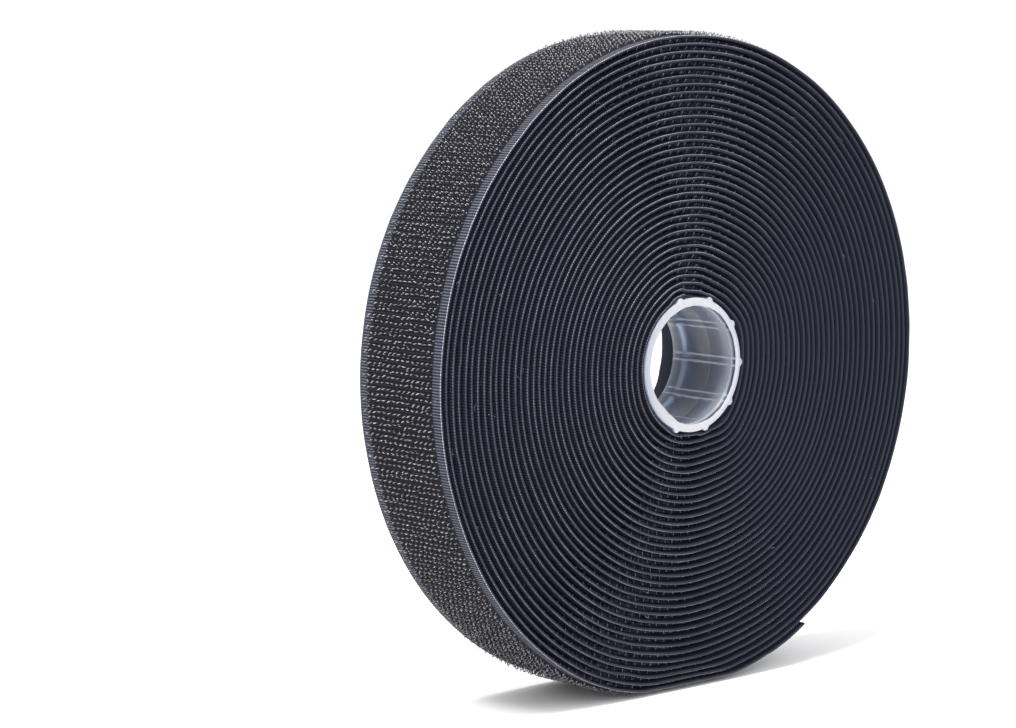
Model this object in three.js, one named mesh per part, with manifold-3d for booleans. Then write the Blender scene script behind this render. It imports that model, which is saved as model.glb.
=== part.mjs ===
// Roll of hook tape: 25 mm woven tape with stiff hooks on one side, wound hooks outward on a short
// ribbed plastic core. Millimetres, +Z up. The roll stands on the flat spot under it, its axis
// lies along Y and its front face looks along -Y.
import * as THREE from 'three';
import { mergeVertices } from 'three/addons/utils/BufferGeometryUtils.js';
import Module from 'manifold-3d';

// Tape, cut through: a woven ground with bare selvedges and a field of hooks between them
const TAPE_WIDTH = 25;
const GROUND_THICKNESS = 0.5;
const SELVEDGE_WIDTH = 2.5;
const HOOK_HEIGHT = 1.1;
const HOOK_FIELD_SLOPE = 0.4;

// Winding: angles in degrees, counter-clockwise as seen from the front, 0 towards +X
const START_ANGLE = 100;
const END_ANGLE = 300;
const WHOLE_TURNS = 34;
const START_RADIUS = 14.1;
const PITCH = 1.62;
const LEAST_PITCH = 1.3;
const GROOVE_DEPTH = 1;
const REST_RADIUS = 69.7;
const REST_HALF_ANGLE = 30;
const DOWN = 270;

// Core
const CORE_RADIUS = 14.3;
const CORE_LENGTH = 19;
const BORE_RADIUS = 13.05;
const BORE_CHAMFER = 0.3;
const COLLAR_RADIUS = 12.6;
const COLLAR_LENGTH = 3.4;
const COLLAR_SLOPE = 0.4;
const FIRST_RIB_ANGLE = 250;
const RIB_SPACING = 36;
const RIB_COUNT = 7;
const RIB_HEIGHT = 0.6;
const RIB_HALF_WIDTH = 1;
const RIB_TIP_HALF_WIDTH = 0.35;
const RIB_LIFT_ANGLE = 9;
const CLEARANCE = 0.4;

// Steps
const STEPS_PER_TURN = 36;
const BORE_SIDES = 72;
const CORE_ARC_STEP = 6;

// How far the turns stand off an even spiral in each direction, in mm: on the turns next to the
// core, a quarter of the way out, halfway out and next to the rim
const UNEVENNESS = [
  { angle: 0, nearCore: 0, inner: -0.1, middle: -0.3, nearRim: 0.7 },
  { angle: 27, nearCore: 0.6, inner: 0.25, middle: -0.15, nearRim: 0.9 },
  { angle: 50, nearCore: -0.15, inner: -0.3, middle: -0.45, nearRim: 0.6 },
  { angle: 68, nearCore: -0.55, inner: -0.5, middle: -0.8, nearRim: 0.2 },
  { angle: 88, nearCore: 0, inner: -0.15, middle: -0.65, nearRim: 0 },
  { angle: 107, nearCore: 0.55, inner: 0.15, middle: -0.4, nearRim: 0.2 },
  { angle: 130, nearCore: 0.25, inner: 0.1, middle: -0.15, nearRim: 0.45 },
  { angle: 160, nearCore: 0.2, inner: 0.3, middle: 0.25, nearRim: 0.85 },
  { angle: 185, nearCore: 0.2, inner: 0.35, middle: 0.4, nearRim: 0.8 },
  { angle: 215, nearCore: 0.4, inner: 0.3, middle: 0.2, nearRim: 0.7 },
  { angle: 242, nearCore: 0.3, inner: 0, middle: -0.25, nearRim: 0.65 },
  { angle: 262, nearCore: 0.05, inner: -0.2, middle: -0.7, nearRim: 0 },
  { angle: 280, nearCore: -0.15, inner: -0.3, middle: -1, nearRim: -0.4 },
  { angle: 308, nearCore: 1.1, inner: 0.4, middle: -0.4, nearRim: 0.5 },
  { angle: 330, nearCore: 0.45, inner: 0.2, middle: -0.2, nearRim: 0.8 },
  { angle: 345, nearCore: 0, inner: -0.05, middle: -0.2, nearRim: 0.75 },
];
const UNEVENNESS_COLUMNS = [
  { name: 'nearCore', turns: 3 },
  { name: 'inner', turns: 9 },
  { name: 'middle', turns: 21 },
  { name: 'nearRim', turns: 32 },
];

const TURN_DEGREES = 360;
const STEP_DEGREES = TURN_DEGREES / STEPS_PER_TURN;
const STEP_COUNT = (WHOLE_TURNS * TURN_DEGREES + END_ANGLE - START_ANGLE) / STEP_DEGREES;
const RIM_START = STEP_COUNT - STEPS_PER_TURN;
const { clamp, degToRad, euclideanModulo, lerp, radToDeg, smoothstep } = THREE.MathUtils;
const wasm = await Module();
wasm.setup();

function stepAngle(step) {
  return START_ANGLE + STEP_DEGREES * step;
}

// Smallest angle between two directions
function angleBetween(first, second) {
  const turned = euclideanModulo(first - second, TURN_DEGREES);
  return Math.min(turned, TURN_DEGREES - turned);
}

function unevennessInColumn(angle, column) {
  const turned = euclideanModulo(angle, TURN_DEGREES);
  const rowIndex = UNEVENNESS.findLastIndex((row) => row.angle <= turned);
  const row = UNEVENNESS[rowIndex];
  const next = UNEVENNESS[(rowIndex + 1) % UNEVENNESS.length];
  const span = euclideanModulo(next.angle - row.angle, TURN_DEGREES);
  return lerp(row[column], next[column], smoothstep(turned - row.angle, 0, span));
}

function unevenness(step) {
  const turns = step / STEPS_PER_TURN;
  const last = UNEVENNESS_COLUMNS.length - 2;
  const found = UNEVENNESS_COLUMNS.findLastIndex((column) => column.turns <= turns);
  const index = clamp(found, 0, last);
  const below = UNEVENNESS_COLUMNS[index];
  const above = UNEVENNESS_COLUMNS[index + 1];
  const part = clamp((turns - below.turns) / (above.turns - below.turns), 0, 1);
  const angle = stepAngle(step);
  return lerp(unevennessInColumn(angle, below.name), unevennessInColumn(angle, above.name), part);
}

function ribAngles() {
  return Array.from({ length: RIB_COUNT }, (_, rib) => FIRST_RIB_ANGLE + RIB_SPACING * rib);
}

// The first turn lies on the core, and is lifted at the ribs
function coreReach(angle) {
  const overRib = ribAngles().some((rib) => angleBetween(angle, rib) < RIB_LIFT_ANGLE);
  return CORE_RADIUS + (overRib ? RIB_HEIGHT : 0) + CLEARANCE;
}

// The turns near the rim flatten where the roll stands
function restLimit(step) {
  const angle = stepAngle(step);
  if (angleBetween(angle, DOWN) > REST_HALF_ANGLE) {
    return Infinity;
  }
  const turnsAbove = Math.floor((STEP_COUNT - step) / STEPS_PER_TURN);
  const floor = REST_RADIUS / Math.cos(degToRad(angleBetween(angle, DOWN)));
  return floor - HOOK_HEIGHT - LEAST_PITCH * turnsAbove;
}

// Radius of the tape's edge at each step: the ground's inner side on the first turn, moving over to
// its outer side on the last
function edgeRadii() {
  const radii = [];
  for (let step = 0; step <= STEP_COUNT; step += 1) {
    const spiral = START_RADIUS + (PITCH * step) / STEPS_PER_TURN + unevenness(step);
    const side = GROUND_THICKNESS * (step / STEP_COUNT - 0.5);
    const firstTurn = step < STEPS_PER_TURN;
    const under = firstTurn ? coreReach(stepAngle(step)) : radii[step - STEPS_PER_TURN] + LEAST_PITCH;
    radii.push(Math.min(Math.max(spiral + side, under), restLimit(step)));
  }
  return radii;
}

// Cross-section of the outermost turn between its two edges: depth from the front, height over the ground
function rimProfile() {
  const field = SELVEDGE_WIDTH + HOOK_FIELD_SLOPE;
  return [
    { depth: SELVEDGE_WIDTH, height: 0 },
    { depth: field, height: HOOK_HEIGHT },
    { depth: TAPE_WIDTH - field, height: HOOK_HEIGHT },
    { depth: TAPE_WIDTH - SELVEDGE_WIDTH, height: 0 },
  ];
}

// Collects points and faces of one mesh
class Surface {
  constructor() {
    this.points = [];
    this.faces = [];
  }

  point(angle, radius, depth) {
    const direction = degToRad(angle);
    this.points.push(radius * Math.cos(direction), depth, radius * Math.sin(direction));
    return this.points.length / 3 - 1;
  }

  // Polygon with its corners counter-clockwise from outside, as a fan from its first corner
  fan(...corners) {
    for (let corner = 2; corner < corners.length; corner += 1) {
      this.faces.push(corners[0], corners[corner - 1], corners[corner]);
    }
  }

  geometry() {
    const geometry = new THREE.BufferGeometry();
    geometry.setAttribute('position', new THREE.Float32BufferAttribute(this.points, 3));
    geometry.setIndex(this.faces);
    geometry.computeVertexNormals();
    return geometry;
  }
}

// Wound tape: on both faces a ridge follows the tape's edge all along the spiral, with a groove
// between each turn and the next, and the rim carries the selvedges and the hook field
function tapeRollGeometry() {
  const surface = new Surface();
  const radii = edgeRadii();
  const front = radii.map((radius, step) => surface.point(stepAngle(step), radius, 0));
  const back = radii.map((radius, step) => surface.point(stepAngle(step), radius, TAPE_WIDTH));
  const covered = radii.slice(0, RIM_START + 1);
  const middles = covered.map((radius, step) => (radius + radii[step + STEPS_PER_TURN]) / 2);
  const frontGroove = middles.map((radius, step) => surface.point(stepAngle(step), radius, GROOVE_DEPTH));
  const backGroove = middles.map((radius, step) =>
    surface.point(stepAngle(step), radius, TAPE_WIDTH - GROOVE_DEPTH),
  );
  const rim = radii.slice(RIM_START).map((radius, index) => {
    const step = RIM_START + index;
    const angle = stepAngle(step);
    const between = rimProfile().map(({ depth, height }) => surface.point(angle, radius + height, depth));
    return [front[step], ...between, back[step]];
  });

  for (let step = 0; step < RIM_START; step += 1) {
    const next = step + 1;
    const over = step + STEPS_PER_TURN;
    surface.fan(front[step], frontGroove[step], frontGroove[next], front[next]);
    surface.fan(frontGroove[step], front[over], front[over + 1], frontGroove[next]);
    surface.fan(back[step], back[next], backGroove[next], backGroove[step]);
    surface.fan(backGroove[step], backGroove[next], back[over + 1], back[over]);
  }
  for (let step = 0; step < STEPS_PER_TURN; step += 1) {
    surface.fan(front[step], front[step + 1], back[step + 1], back[step]);
    for (let column = 0; column + 1 < rim[step].length; column += 1) {
      const [here, next] = [rim[step], rim[step + 1]];
      surface.fan(here[column], here[column + 1], next[column + 1], next[column]);
    }
  }
  startFace(surface, front, back, frontGroove[0], backGroove[0]);
  endFace(surface, rim[0], rim[STEPS_PER_TURN], frontGroove[RIM_START], backGroove[RIM_START]);
  return surface.geometry();
}

// Cut end of the tape on the core, one layer high
function startFace(surface, front, back, frontGroove, backGroove) {
  surface.fan(front[0], back[0], backGroove, frontGroove);
  surface.fan(frontGroove, backGroove, back[STEPS_PER_TURN], front[STEPS_PER_TURN]);
}

// Loose end of the tape on the rim, one layer high
function endFace(surface, inner, outer, frontGroove, backGroove) {
  const last = inner.length - 1;
  surface.fan(frontGroove, outer[0], outer[1], inner[1], inner[0]);
  for (let column = 1; column + 1 < last; column += 1) {
    surface.fan(inner[column], outer[column], outer[column + 1], inner[column + 1]);
  }
  surface.fan(backGroove, inner[last], inner[last - 1], outer[last - 1], outer[last]);
}

// Closed mesh as a solid for joining and cutting
function solidOf(geometry) {
  const bare = geometry.clone();
  bare.deleteAttribute('normal');
  bare.deleteAttribute('uv');
  const merged = mergeVertices(bare);
  const mesh = new wasm.Mesh({
    numProp: 3,
    vertProperties: new Float32Array(merged.attributes.position.array),
    triVerts: new Uint32Array(merged.index.array),
  });
  return new wasm.Manifold(mesh);
}

function geometryOf(solid) {
  const mesh = solid.getMesh();
  const geometry = new THREE.BufferGeometry();
  geometry.setAttribute('position', new THREE.Float32BufferAttribute(mesh.vertProperties, 3));
  geometry.setIndex(new THREE.Uint32BufferAttribute(mesh.triVerts, 1));
  geometry.computeVertexNormals();
  return geometry;
}

// Round the core from one rib to the next: each rib's blunt tip, then the arc up to the next rib
function coreOutline() {
  const foot = radToDeg(Math.atan2(RIB_HALF_WIDTH, CORE_RADIUS));
  const tip = radToDeg(Math.atan2(RIB_TIP_HALF_WIDTH, CORE_RADIUS + RIB_HEIGHT));
  const ribs = ribAngles();
  const points = [];
  const add = (angle, radius) => {
    points.push(new THREE.Vector2(radius * Math.cos(degToRad(angle)), radius * Math.sin(degToRad(angle))));
  };
  ribs.forEach((rib, index) => {
    const next = index + 1 < ribs.length ? ribs[index + 1] : ribs[0] + TURN_DEGREES;
    add(rib - tip, CORE_RADIUS + RIB_HEIGHT);
    add(rib + tip, CORE_RADIUS + RIB_HEIGHT);
    const arc = next - rib - 2 * foot;
    const arcSteps = Math.round(arc / CORE_ARC_STEP);
    for (let step = 0; step <= arcSteps; step += 1) {
      add(rib + foot + (arc * step) / arcSteps, CORE_RADIUS);
    }
  });
  return points;
}

// Straight through the core, with eased mouths and a narrower collar near the far end
function coreBore() {
  const mouth = BORE_RADIUS + BORE_CHAMFER;
  const collarStart = CORE_LENGTH - COLLAR_LENGTH;
  const profile = [
    new THREE.Vector2(0, -BORE_CHAMFER),
    new THREE.Vector2(mouth + BORE_CHAMFER, -BORE_CHAMFER),
    new THREE.Vector2(BORE_RADIUS, BORE_CHAMFER),
    new THREE.Vector2(BORE_RADIUS, collarStart - COLLAR_SLOPE),
    new THREE.Vector2(COLLAR_RADIUS, collarStart),
    new THREE.Vector2(COLLAR_RADIUS, CORE_LENGTH - BORE_CHAMFER),
    new THREE.Vector2(mouth, CORE_LENGTH + BORE_CHAMFER),
    new THREE.Vector2(0, CORE_LENGTH + BORE_CHAMFER),
  ];
  return new THREE.LatheGeometry(profile, BORE_SIDES);
}

function coreGeometry() {
  const outline = new THREE.Shape(coreOutline());
  const bar = new THREE.ExtrudeGeometry(outline, { depth: CORE_LENGTH, bevelEnabled: false });
  bar.rotateX(Math.PI / 2);
  bar.translate(0, CORE_LENGTH, 0);
  return geometryOf(solidOf(bar).subtract(solidOf(coreBore())));
}

function part(name, geometry, color, roughness) {
  const mesh = new THREE.Mesh(geometry, new THREE.MeshStandardMaterial({ color, roughness, metalness: 0 }));
  mesh.name = name;
  return mesh;
}

const roll = new THREE.Group();
roll.add(part('tape_roll', tapeRollGeometry(), 0x24252b, 0.85));
roll.add(part('core', coreGeometry(), 0xd9dde2, 0.35));

// The origin is under the middle of the roll's box
const box = new THREE.Box3().setFromObject(roll);
const middle = box.getCenter(new THREE.Vector3());
roll.position.set(-middle.x, -middle.y, -box.min.z);

export default roll;
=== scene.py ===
"""Roll of hook tape: a black woven tape with stiff hooks, wound hooks outward on a ribbed core.

Every length is in metres and every piece stands in the row frame: +Z up, the roll's axis along Y,
its front face towards -Y. Directions round the roll are in degrees, counter-clockwise as seen from
the front, 0 towards +X.
"""

import bpy
import numpy as np
from mathutils import Matrix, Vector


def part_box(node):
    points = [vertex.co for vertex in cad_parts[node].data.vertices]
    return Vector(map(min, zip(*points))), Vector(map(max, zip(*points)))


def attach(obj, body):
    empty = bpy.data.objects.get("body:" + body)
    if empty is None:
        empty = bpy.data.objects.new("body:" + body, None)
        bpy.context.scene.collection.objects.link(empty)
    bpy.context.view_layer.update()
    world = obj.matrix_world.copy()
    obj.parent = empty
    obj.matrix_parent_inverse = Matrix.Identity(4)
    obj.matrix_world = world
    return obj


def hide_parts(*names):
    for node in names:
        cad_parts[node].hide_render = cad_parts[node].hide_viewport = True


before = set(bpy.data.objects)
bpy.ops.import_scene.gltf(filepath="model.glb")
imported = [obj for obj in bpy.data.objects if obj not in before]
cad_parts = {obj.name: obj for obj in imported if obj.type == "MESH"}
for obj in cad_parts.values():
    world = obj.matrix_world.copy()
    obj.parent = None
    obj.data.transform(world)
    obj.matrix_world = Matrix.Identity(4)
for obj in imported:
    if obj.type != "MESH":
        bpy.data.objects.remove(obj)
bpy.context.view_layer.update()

bl_info = {
    "name": "Hook Tape Roll",
    "version": (1, 0, 0),
    "blender": (4, 5, 0),
    "location": "3D View > Sidebar > Tape Roll",
    "description": "Adds a wound roll of hook tape with its core, and a pale stage for it",
    "category": "Add Mesh",
}

MM = 0.001
TAPE_NODE = "tape_roll"
CORE_NODE = "core"
front_corner, back_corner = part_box(TAPE_NODE)

# Winding
START_ANGLE = 100
END_ANGLE = 301
WHOLE_TURNS = 34
FULL_TURN = 360
SAMPLES_PER_TURN = 720
START_RADIUS = 14.1 * MM
LEAST_PITCH = 1.3 * MM
REST_RADIUS = 69.7 * MM
REST_HALF_ANGLE = 30
DOWN = 270
# The innermost turn starts to rise at the reach from a rib and is up after the ease, in degrees
RIB_REACH = 12
RIB_EASE = 6
END_DIP = 0.12 * MM
END_DIP_ANGLE = 7
CORE_CLEARANCE = 0.4 * MM
ROUNDING = 1e-9

# How far the turns stand off an even spiral in each direction, in mm: next to the core, a quarter
# and three fifths of the way out, and next to the rim
UNEVENNESS_TURNS = (3, 9, 21, 32)
UNEVENNESS = np.array([
    # direction, next to the core, inner, middle, next to the rim
    (0, 0, -0.1, -0.3, 0.7),
    (27, 0.6, 0.25, -0.15, 0.9),
    (50, -0.15, -0.3, -0.45, 0.6),
    (68, -0.55, -0.5, -0.8, 0.2),
    (88, 0, -0.15, -0.65, 0),
    (107, 0.55, 0.15, -0.4, 0.2),
    (130, 0.25, 0.1, -0.15, 0.45),
    (160, 0.2, 0.3, 0.25, 0.85),
    (185, 0.2, 0.35, 0.4, 0.8),
    (215, 0.4, 0.3, 0.2, 0.7),
    (242, 0.3, 0, -0.25, 0.65),
    (262, 0.05, -0.2, -0.7, 0),
    (280, -0.15, -0.3, -1, -0.4),
    (308, 1.1, 0.4, -0.4, 0.5),
    (330, 0.45, 0.2, -0.2, 0.8),
    (345, 0, -0.05, -0.2, 0.75),
])

KINKS = np.array([
    # turn, counted from the core, direction, how far it dips in mm, half width in degrees
    (32, 193, 0.28, 3),
    (32, 254, 0.3, 4),
    (31, 174, 0.22, 3),
    (27, 66, 0.2, 4),
    (24, 145, 0.2, 3),
    (19, 168, 0.18, 4),
    (15, 92, 0.2, 5),
    (12, 201, 0.16, 5),
    (8, 151, 0.15, 7),
    (5, 112, 0.2, 8),
])
STIFFNESS_ANGLE = 5
WOBBLE = 0.05 * MM
WOBBLE_LENGTH = 9 * MM
EDGE_WOBBLE = 0.16 * MM
# Wander of an edge: its length along the tape in mm, and its share of the wobble
EDGE_WANDER = ((55, 0.8), (7, 0.3))

# Seeds of the random values. What is on the back face takes the next one, and so does an edge's ripple
SEEDS = {
    "wobble": 11,
    "front_edge": 21,
    "back_edge": 31,
    "loops": 41,
    "stretches": 51,
    "lip": 61,
    "rim_hooks": 5,
    "row_wander": 71,
    "row_patches": 73,
    "lean_patches": 75,
    "gap_hooks": 7,
    "strays": 17,
}

# Outer side of the ground's section: depth from the nearer face and height over its middle, in mm
GROUND_EDGE = ((0.12, 0.16), (0.45, 0.25), (2.6, 0.25))
GROUND_STEP = 1.5 * MM
# Length over which the ground and its loops change from their painted shade in the gaps to their full
# lightness on the open rim
RIM_FADE = 15 * MM
# Strip of weft loops over an edge, from the hook side to the back
# The lightness column is partly the loops' own beaded yarn against the dark coated back, and partly a painted
# highlight along the hook-side corner
LOOP_EDGE = np.array([
    # depth and height in mm, lightness
    (0.2, 0.24, 0.05),
    (0.12, 0.26, 1.0),
    (0.03, 0.13, 0.05),
    (0.22, -0.26, 0.01),
])
# Between two loops the strip steps in by the dip and is lower, and painted shade makes it darker
LOOP_DIP = 0.11 * MM
LOOP_HOLLOW_HEIGHT = 0.82
LOOP_HOLLOW_LIGHT = 0.3
LOOP_SIDE_LIGHT = 0.38
LOOP_LIGHT = (0.45, 1)
# The loops stand out more or less over stretches of the tape
STRETCH_LENGTH = 5 * MM
STRETCH_LIGHT = 0.68
STRETCH_SPREAD = 0.32

# Hooks: a filament rises, bends over and ends, and the stump of its cut loop stands beside it
HOOK_ROW_PITCH = 1.2 * MM
HOOK_PITCH = 1.515 * MM
HOOK_SHIFT = 0.75 * MM
HOOK_RADIUS = 0.09 * MM
HOOK_LEAN = 76
HOOK_MARGIN = 0.15 * MM
# Height of the filaments' roots over the ground's middle, just inside its outer side
HOOK_ROOT = 0.2 * MM
STRAY_RADIUS = 0.035 * MM
TUBE_SIDES = 3
# Bends of a filament: way along its lean and height over its root in mm, and lightness. The lightness paints
# a highlight on the hooks' bends and the stumps' tops, over dark feet
HOOK = ((0, 0, 0), (-0.03, 0.6, 0.1), (0.08, 0.93, 0.8), (0.3, 0.98, 1), (0.48, 0.68, 0.2))
STUMP = ((1.0, 0, 0), (1.04, 0.66, 1))
GAP_HOOK = ((0, 0, 0.3), (0.26, 0.6, 0.8), (0.5, 0.95, 1))
GAP_LEAN = -125
STRAY = ((0, 0, 1), (0.25, 0.45, 1), (0.8, 0.75, 1), (1.3, 0.7, 1))
# Random spread of the filaments: along and across the tape in mm, of their lean and tilt in degrees,
# and the least and the most of their height and lightness
RIM_SPREAD = {
    "along": 0.05,
    "across": 0.06,
    "lean": 10,
    "tilt": 6,
    "height": (0.9, 1.02),
    "light": (0.2, 0.7),
}
GAP_SPREAD = {
    "along": 0.1,
    "across": 0.1,
    "lean": 14,
    "tilt": 6,
    "height": (0.8, 1.0),
    "light": (0.4, 1),
}
STRAY_SPREAD = {"tilt": 12, "height": (0.5, 1.1), "light": (0.2, 0.6)}
# The rim's hooks cover a little more than a turn. Their rows wander along the tape in patches, and
# their lean differs from patch to patch
RIM_HOOK_TURNS = 1.02
RIM_END_MARGIN = 0.3 * MM
ROW_WANDER = 0.22 * MM
ROW_WANDER_LENGTH = 2.1 * HOOK_ROW_PITCH
ROW_PATCH = 9 * MM
LEAN_WANDER = 12
LEAN_PATCH = 5 * MM
GAP_HOOK_START = 10 * MM
GAP_HOOK_ROWS = 2
# Loose filaments: the share of the tape that they start from, how they gather towards the rim, the
# length left bare at the tape's end, and their depth in mm
STRAY_START = 0.05
STRAY_GATHERING = 0.6
STRAY_END = 100 * MM
STRAY_DEPTH = (0.3, 1.6)
# Band of the deeper hooks: its distance from the faces, its step and its gap to the next turn
MASS_MARGIN = 3.3 * MM
MASS_STEP = 2 * MM
MASS_CLEARANCE = 0.04 * MM

# Core
RIB_ANGLES = 250 + 36 * np.arange(7)
RIB_HEIGHT = 0.6 * MM
RIB_FOOT = 1.0 * MM
RIB_TIP = 0.35 * MM
# A pale line runs along each side of a rib, at a share of its foot's half width
RIB_LINE_PLACE = 0.85
RIB_LINE_WIDTH = 0.3 * MM
CORE_SAMPLES = 480
CORE_RADIUS = 14.3 * MM
# Inner radius of the core's front lip round the core, in mm
LIP = np.array([
    # direction, radius
    (0, 13.0),
    (55, 12.95),
    (80, 12.5),
    (130, 12.5),
    (185, 12.62),
    (212, 12.35),
    (222, 11.9),
    (238, 12.0),
    (250, 12.45),
    (275, 12.7),
    (310, 13.0),
    (360, 13.0),
])
LIP_DEPTH = 0.5 * MM
LIP_WEAR = 0.06 * MM
LIP_WEAR_ANGLE = 4
LIP_EDGE = 0.1 * MM
# Painted light: milkiness of the wall at its sides, as a share of that at its top and bottom, which paints
# the wall lighter at its top and bottom
CORE_SIDE_LIGHT = 0.5
CORE_SECTION = np.array([
    # depth from the front and radius in mm, whether the ribs add to it, milkiness
    (0, 14.18, 1, 1),
    (0.12, 14.3, 1, 1),
    (0.6, 14.3, 1, 0.3),
    (9.5, 14.3, 1, 0.0),
    (17, 14.3, 1, 0.0),
    (18.88, 14.3, 1, 0.2),
    (19, 14.18, 1, 0.4),
    (19, 12.85, 0, 0.4),
    (18.75, 12.6, 0, 0.2),
    (15.6, 12.6, 0, 0.15),
    (15.25, 13.05, 0, 0.06),
    (8.1, 13.05, 0, 0.0),
    (7.8, 12.99, 0, 0.35),
    (7.5, 13.05, 0, 0.02),
    (4.5, 13.05, 0, 0.26),
    (2.5, 13.05, 0, 0.8),
    (1.75, 12.7, 0, 1.0),
    (1.05, 12.66, 0, 0.95),
    (0.9, 13.0, 0, 0.0),
    (0.34, 13.03, 0, 0.0),
    (0.2, 13.05, 0, 1),
    (0, 13.18, 0, 1),
])

# Camera, fitted to the photograph, and lights
IMAGE_WIDTH = 1016
FOCAL_PIXELS = 3056.42
CAMERA_AZIMUTH = -41.9
CAMERA_ELEVATION = 6.8
CAMERA_DISTANCE = 646.39 * MM
CAMERA_SIDE = 39.25 * MM
CAMERA_RISE = 0.213 * MM
SENSOR_WIDTH = 36
CAMERA_CLIP = (0.01, 100)
LIGHTS = (
    # name, way along the camera's right, up and back, distance, size, power, colour
    ("key", (-0.4, 1.2, 0.6), 0.9, 0.5, 12.0, "fffcfa"),
    ("front", (0.56, 0.33, 0.75), 0.9, 0.8, 4.0, "f8faff"),
)
SKY_STRENGTH = 1.06
FLOOR_RADIUS = 30
FLOOR_RINGS = (1, 0.25)
FLOOR_SIDES = 96

# Pieces on the two faces, and whether each is on the back one
LOOP_PIECES = {"selvedge_loops_front": False, "selvedge_loops_back": True}
GAP_PIECES = {"gap_hooks_front": False, "gap_hooks_back": True}

# A wave texture of scale 1 has 10 / pi waves in a metre
ONE_WAVE_A_METRE = np.pi / 10
WARP_PITCH = 0.42 * MM
SELVEDGE_BLEND = 0.2 * MM
# Painted shade: how light the ribs are in the gaps between the turns, as a share of those on the open rim
GAP_SHARE = 0.25
# Fineness of the noise in the materials, in cells a metre. Real paper has a finer grain, which
# wouldn't show
CLOTH_PATCHES = 0.7 / MM
MASS_SPECKS = 1.3 / MM
PLASTIC_RIPPLE = 0.26 / MM
PAPER_GRAIN = 1.8 / MM


def linear(code):
    """Turns an sRGB hex colour into linear red, green, blue and an alpha of 1."""
    values = np.array([int(code[i : i + 2], 16) for i in (0, 2, 4)]) / 255
    low = values / 12.92
    high = ((values + 0.055) / 1.055) ** 2.4
    return (*np.where(values <= 0.04045, low, high), 1.0)


def smooth(value):
    """Smooth step of a value from 0 to 1."""
    part = np.clip(value, 0, 1)
    return part * part * (3 - 2 * part)


def turned(first, second):
    """Smallest angle between directions in degrees."""
    return np.abs((first - second + FULL_TURN / 2) % FULL_TURN - FULL_TURN / 2)


def to_nearest_rib(direction):
    """Angle from each direction to the nearest rib of the core."""
    return np.min([turned(direction, rib) for rib in RIB_ANGLES], axis=0)


def soft_noise(places, scale, seed):
    """Smooth noise along a line: random values at even spaces, joined with smooth steps."""
    random = np.random.default_rng(seed)
    at = places / scale
    first = np.floor(at).astype(int)
    values = random.uniform(-1, 1, first.max() + 2)
    part = smooth(at - first)
    return values[first] * (1 - part) + values[first + 1] * part


def add_mesh(name, points, quads, triangles=None, uv=None, values=None):
    """Object from whole arrays: points, four-cornered faces, triangles, a UV and a value per point."""
    mesh = bpy.data.meshes.new(name)
    triangles = np.zeros((0, 3), int) if triangles is None else triangles
    corners = np.concatenate([quads.ravel(), triangles.ravel()]).astype(np.int32)
    starts = np.concatenate([4 * np.arange(len(quads)), 4 * len(quads) + 3 * np.arange(len(triangles))])
    mesh.vertices.add(len(points))
    mesh.vertices.foreach_set("co", points.astype(np.float32).ravel())
    mesh.loops.add(len(corners))
    mesh.loops.foreach_set("vertex_index", corners)
    mesh.polygons.add(len(starts))
    mesh.polygons.foreach_set("loop_start", starts.astype(np.int32))
    mesh.update(calc_edges=True)
    mesh.polygons.foreach_set("use_smooth", np.ones(len(starts), bool))
    if uv is not None:
        layer = mesh.uv_layers.new(name="along_tape")
        layer.data.foreach_set("uv", uv[corners].astype(np.float32).ravel())
    for label, value in (values or {}).items():
        mesh.attributes.new(label, "FLOAT", "POINT").data.foreach_set("value", value.astype(np.float32))
    if mesh.validate():
        raise RuntimeError(f"{name} has faces that don't fit together")
    piece = bpy.data.objects.new(name, mesh)
    bpy.context.scene.collection.objects.link(piece)
    return piece


def grid_quads(rows, columns, rows_closed, columns_closed):
    """Faces of a grid of points, row after row."""
    row = np.arange(rows if rows_closed else rows - 1)[:, None]
    column = np.arange(columns if columns_closed else columns - 1)[None, :]
    next_row, next_column = (row + 1) % rows, (column + 1) % columns
    corners = (
        row * columns + column,
        row * columns + next_column,
        next_row * columns + next_column,
        next_row * columns + column,
    )
    return np.stack(corners, axis=-1).reshape(-1, 4)


def finish_piece(piece, material):
    """Gives a piece its material, and lets it move with the roll."""
    piece.data.materials.append(material)
    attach(piece, "root")
    return piece


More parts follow.
